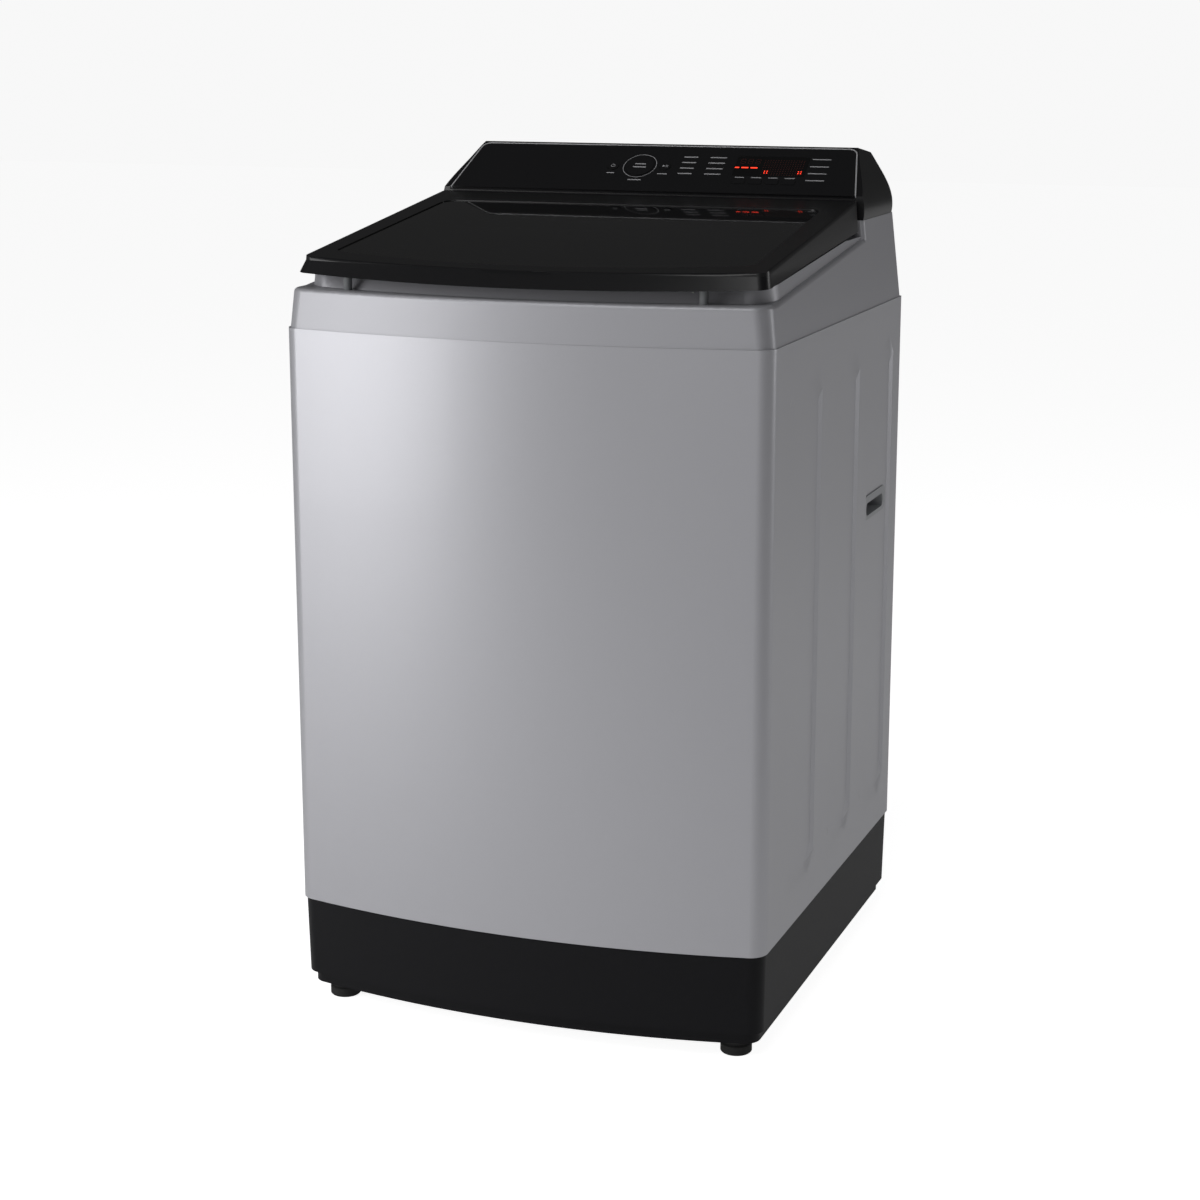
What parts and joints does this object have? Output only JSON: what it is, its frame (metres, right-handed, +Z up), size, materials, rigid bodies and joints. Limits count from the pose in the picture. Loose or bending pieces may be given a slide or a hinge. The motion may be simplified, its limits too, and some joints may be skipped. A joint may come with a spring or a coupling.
{
  "type": "top load washing machine",
  "caption": "Top load washing machine with a bowed silver cabinet, dark skirt, sloping black lid of tinted glass and rear control fascia, with tub, basket, pulsator and belt drive inside.",
  "frame": {"origin": "centre of the overall box, on the floor", "axes": "+Z up, +X to the machine's right seen from the front, +Y to the back; the bowed front faces -Y"},
  "size_m": [0.54, 0.5689, 0.9334],
  "materials": {
    "silver_steel": "satin silver-grey enamel",
    "silver_plastic": "satin moulded plastic matched to the cabinet",
    "charcoal_plastic": "fine-grained satin",
    "black_gloss": "high gloss",
    "smoked_glass": "polished tinted tempered glass",
    "chrome_trim": "bright plated",
    "display_lens": "smoked",
    "white_plastic": "moulded",
    "grey_plastic": "moulded",
    "zinc_steel": "zinc plated",
    "stainless": "bright stainless",
    "cast_aluminium": "die cast",
    "black_rubber": "matt",
    "soft_grey_rubber": "matt",
    "motor_metal": "painted laminations and end bells",
    "board_plastic": "potted circuit board tray"
  },
  "bodies": {
    "casing": {"cabinet": "silver_steel", "back_panel": "zinc_steel", "back_panel_screws": "zinc_steel", "power_cord_gland": "black_rubber", "base_frame": "charcoal_plastic", "bottom_guard": "charcoal_plastic", "handle_left": "grey_plastic", "handle_right": "grey_plastic", "foot_locknuts": "zinc_steel", "top_cover": "silver_plastic", "lid_lock": "white_plastic", "lid_bumpers": "soft_grey_rubber", "dispenser_box": "grey_plastic", "inlet_valve": "white_plastic", "level_sensor": "white_plastic", "pressure_hose": "black_rubber", "control_housing": "black_gloss", "control_fascia": "black_gloss", "fascia_trim": "chrome_trim", "display_module": "display_lens", "control_board": "board_plastic", "drain_hose": "soft_grey_rubber", "drain_outlet": "charcoal_plastic", "suspension_rods": "zinc_steel", "rod_hangers": "white_plastic", "suspension_springs": "zinc_steel"},
    "tub": {"outer_tub": "grey_plastic", "tub_cover": "grey_plastic", "damper_cups": "charcoal_plastic", "support_plate": "zinc_steel", "clutch_housing": "cast_aluminium", "motor_body": "motor_metal", "drive_belt": "black_rubber", "drain_valve": "white_plastic"},
    "drum": {"basket": "stainless", "balance_ring": "grey_plastic", "basket_hub": "cast_aluminium", "lint_filters": "white_plastic"},
    "agitator": {"pulsator": "grey_plastic", "drive_shaft": "stainless", "driven_pulley": "cast_aluminium"},
    "rotor": {"motor_pulley": "cast_aluminium"},
    "lid": {"lid_frame": "black_gloss", "lid_glass": "smoked_glass", "lid_inner_frame": "charcoal_plastic", "lid_hinge_pins": "zinc_steel", "lid_strike": "charcoal_plastic"},
    "drawer": {"detergent_drawer": "charcoal_plastic", "drawer_siphon": "grey_plastic"},
    "power_button_body": {"power_button": "black_gloss"},
    "cycle_button_body": {"cycle_button": "black_gloss"},
    "start_button_body": {"start_button": "black_gloss"},
    "level_key_body": {"level_key": "black_gloss"},
    "wash_key_body": {"wash_key": "black_gloss"},
    "rinse_key_body": {"rinse_key": "black_gloss"},
    "spin_key_body": {"spin_key": "black_gloss"},
    "foot_front_left_body": {"foot_front_left": "black_rubber"},
    "foot_front_right_body": {"foot_front_right": "black_rubber"},
    "foot_rear_left_body": {"foot_rear_left": "black_rubber"},
    "foot_rear_right_body": {"foot_rear_right": "black_rubber"}
  },
  "joints": [
    {"name": "lid_hinge", "type": "hinge", "parent": "casing", "child": "lid", "pos_m": [0, 0.118, 0.866], "axis": [-1, 0, 0], "range_deg": [0, 105]},
    {"name": "drawer_slide", "type": "slide", "parent": "casing", "child": "drawer", "axis": [0, -1, 0], "range_m": [0, 0.09]},
    {"name": "tub_bounce", "type": "slide", "parent": "casing", "child": "tub", "axis": [0, 0, 1], "range_m": [-0.025, 0.012], "stiffness_N_per_m": 7000, "springref_m": 0.03473, "deforming": ["suspension_springs"]},
    {"name": "drum_spin", "type": "hinge", "parent": "tub", "child": "drum", "pos_m": [0, 0.005, 0.4], "axis": [0, 0, 1], "continuous": true},
    {"name": "agitator_spin", "type": "hinge", "parent": "tub", "child": "agitator", "pos_m": [0, 0.005, 0.28], "axis": [0, 0, 1], "continuous": true},
    {"name": "rotor_spin", "type": "hinge", "parent": "tub", "child": "rotor", "pos_m": [0, 0.165, 0.104], "axis": [0, 0, 1], "continuous": true},
    {"name": "power_button_press", "type": "slide", "parent": "casing", "child": "power_button_body", "axis": [0, 0.5906, -0.807], "range_m": [0, 0.0008], "stiffness_N_per_m": 1500, "springref_m": -0.0006},
    {"name": "cycle_button_press", "type": "slide", "parent": "casing", "child": "cycle_button_body", "axis": [0, 0.5906, -0.807], "range_m": [0, 0.0008], "stiffness_N_per_m": 1500, "springref_m": -0.0006},
    {"name": "start_button_press", "type": "slide", "parent": "casing", "child": "start_button_body", "axis": [0, 0.5906, -0.807], "range_m": [0, 0.0008], "stiffness_N_per_m": 1500, "springref_m": -0.0006},
    {"name": "level_key_press", "type": "slide", "parent": "casing", "child": "level_key_body", "axis": [0, 0.5906, -0.807], "range_m": [0, 0.0008], "stiffness_N_per_m": 1500, "springref_m": -0.0006},
    {"name": "wash_key_press", "type": "slide", "parent": "casing", "child": "wash_key_body", "axis": [0, 0.5906, -0.807], "range_m": [0, 0.0008], "stiffness_N_per_m": 1500, "springref_m": -0.0006},
    {"name": "rinse_key_press", "type": "slide", "parent": "casing", "child": "rinse_key_body", "axis": [0, 0.5906, -0.807], "range_m": [0, 0.0008], "stiffness_N_per_m": 1500, "springref_m": -0.0006},
    {"name": "spin_key_press", "type": "slide", "parent": "casing", "child": "spin_key_body", "axis": [0, 0.5906, -0.807], "range_m": [0, 0.0008], "stiffness_N_per_m": 1500, "springref_m": -0.0006},
    {"name": "foot_front_left_screw", "type": "slide", "parent": "casing", "child": "foot_front_left_body", "axis": [0, 0, 1], "range_m": [-0.01, 0.004]},
    {"name": "foot_front_right_screw", "type": "slide", "parent": "casing", "child": "foot_front_right_body", "axis": [0, 0, 1], "range_m": [-0.01, 0.004]},
    {"name": "foot_rear_left_screw", "type": "slide", "parent": "casing", "child": "foot_rear_left_body", "axis": [0, 0, 1], "range_m": [-0.01, 0.004]},
    {"name": "foot_rear_right_screw", "type": "slide", "parent": "casing", "child": "foot_rear_right_body", "axis": [0, 0, 1], "range_m": [-0.01, 0.004]}
  ],
  "couplings": [
    {"joint": "rotor_spin", "follows": "agitator_spin", "ratio": 3}
  ]
}
